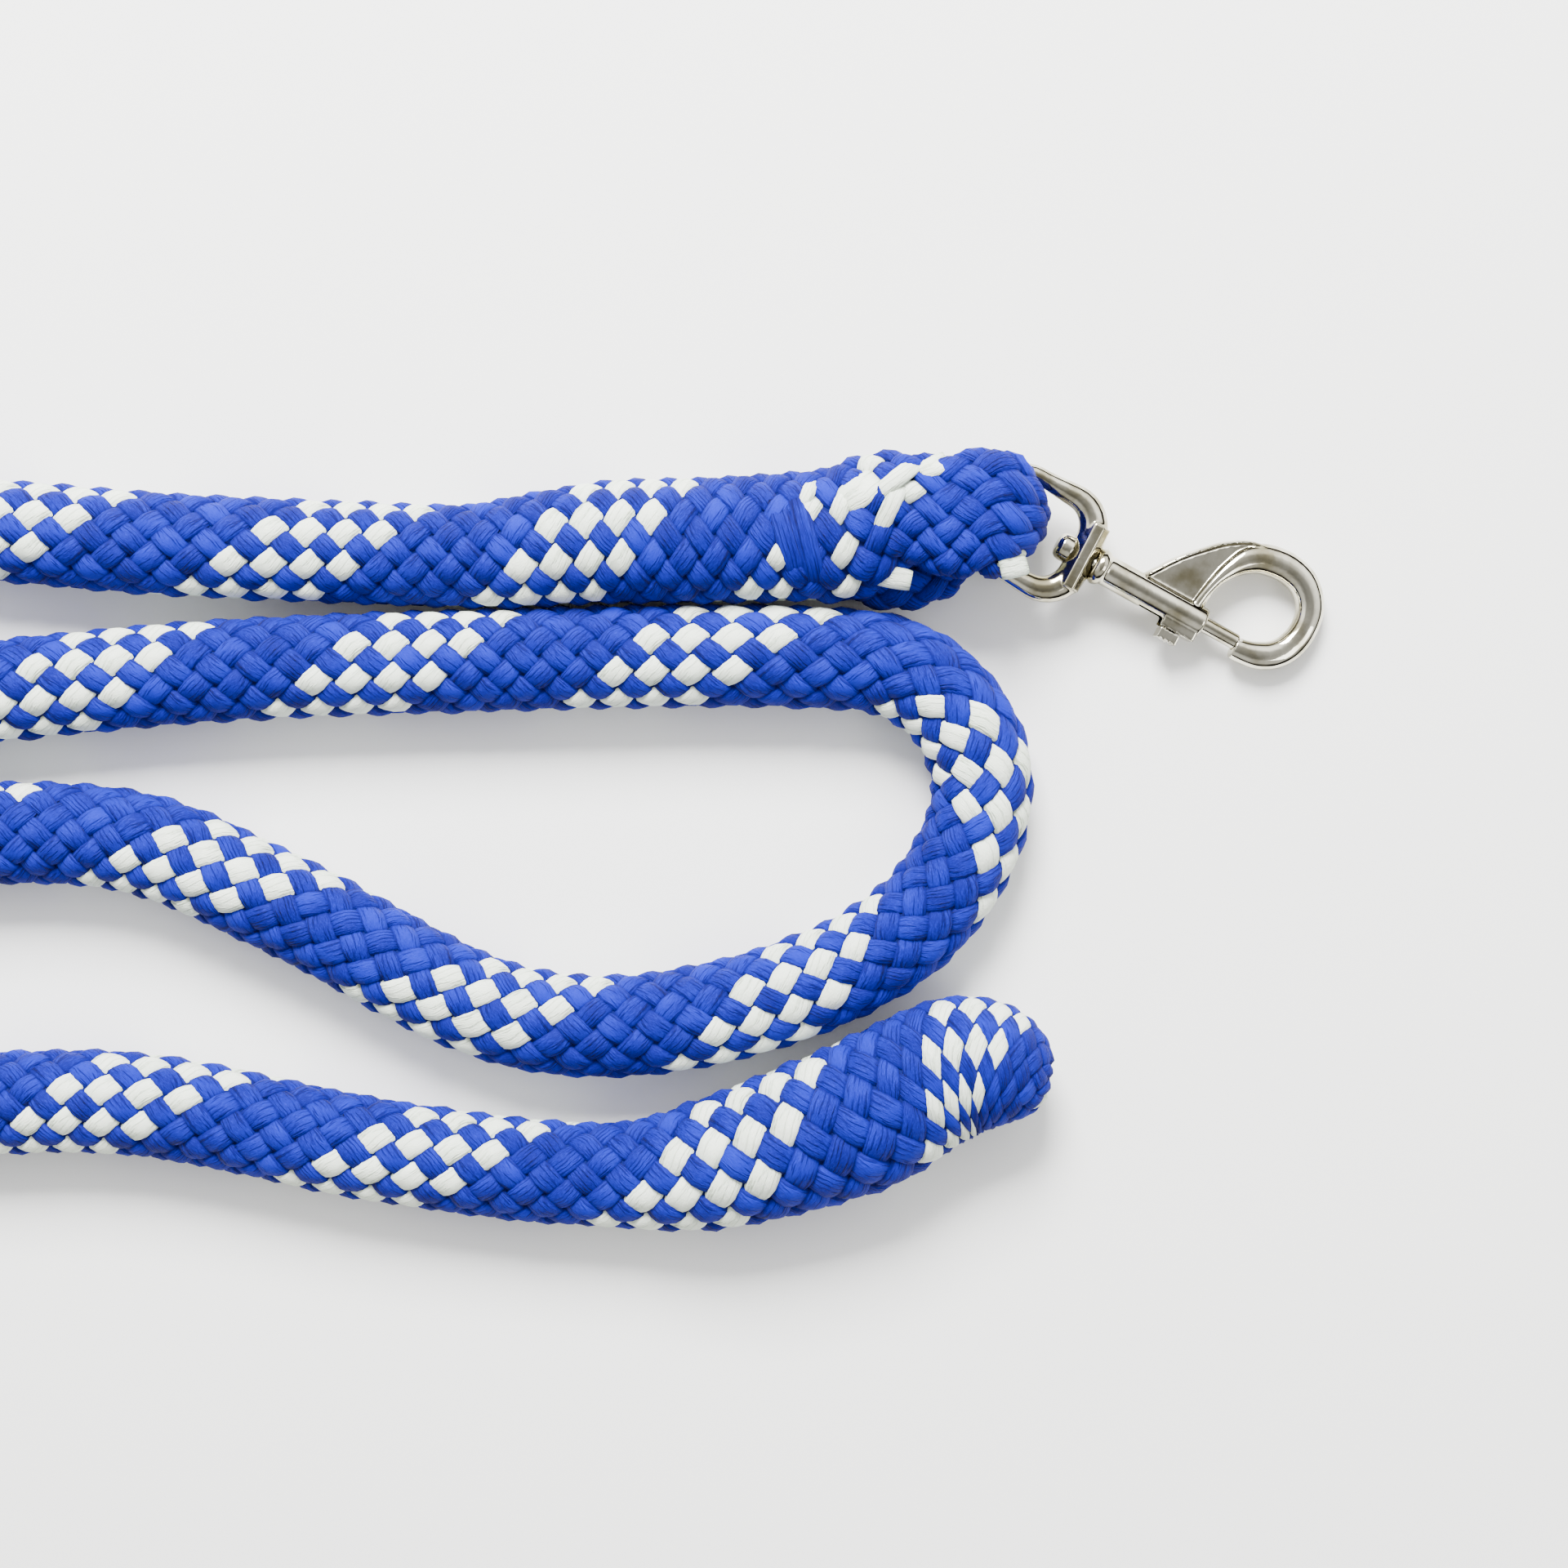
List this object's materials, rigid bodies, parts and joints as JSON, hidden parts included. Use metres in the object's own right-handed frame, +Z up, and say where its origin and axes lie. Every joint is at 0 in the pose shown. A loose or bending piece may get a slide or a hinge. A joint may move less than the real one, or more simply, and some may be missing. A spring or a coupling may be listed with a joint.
{
  "type": "lead rope",
  "caption": "Thick soft blue and white braided rope lead, spliced round the swivel eye of a plated bolt snap, with its free end turned back into itself, lying in long bends.",
  "frame": {"origin": "middle of the whole lead's footprint, on the surface that the rope lies on", "axes": "+X along the long strands towards the snap, +Y across the strands towards the snap's strand, +Z up"},
  "size_m": [0.4965, 0.2051, 0.028],
  "materials": {
    "braid": "soft multifilament braid, matt with a slight sheen",
    "plated_metal": "bright nickel plate",
    "spring_steel": "drawn wire"
  },
  "bodies": {
    "rope": {"rope_run": "braid", "splice_sleeve": "braid", "buried_tail": "braid", "eye_loop": "braid", "end_sleeve": "braid", "tucked_end": "braid"},
    "eye": {"swivel_eye": "plated_metal"},
    "snap": {"swivel_stud": "plated_metal", "hook_body": "plated_metal", "bolt_spring": "spring_steel"},
    "bolt": {"bolt": "plated_metal", "thumb_knob": "plated_metal"}
  },
  "joints": [
    {"name": "eye_tilt", "type": "hinge", "parent": "rope", "child": "eye", "pos_m": [0.1656, 0.0729, 0.01415], "axis": [-0.4695, -0.8829, 0], "range_deg": [-25, 25]},
    {"name": "snap_swivel", "type": "hinge", "parent": "eye", "child": "snap", "pos_m": [0.19187, 0.05893, 0.0103], "axis": [0.8756, -0.4656, -0.1283], "continuous": true},
    {"name": "bolt_slide", "type": "slide", "parent": "snap", "child": "bolt", "axis": [-0.8756, 0.4656, 0.1283], "range_m": [0, 0.0084], "stiffness_N_per_m": 350, "springref_m": -0.006, "deforming": ["bolt_spring"]}
  ]
}
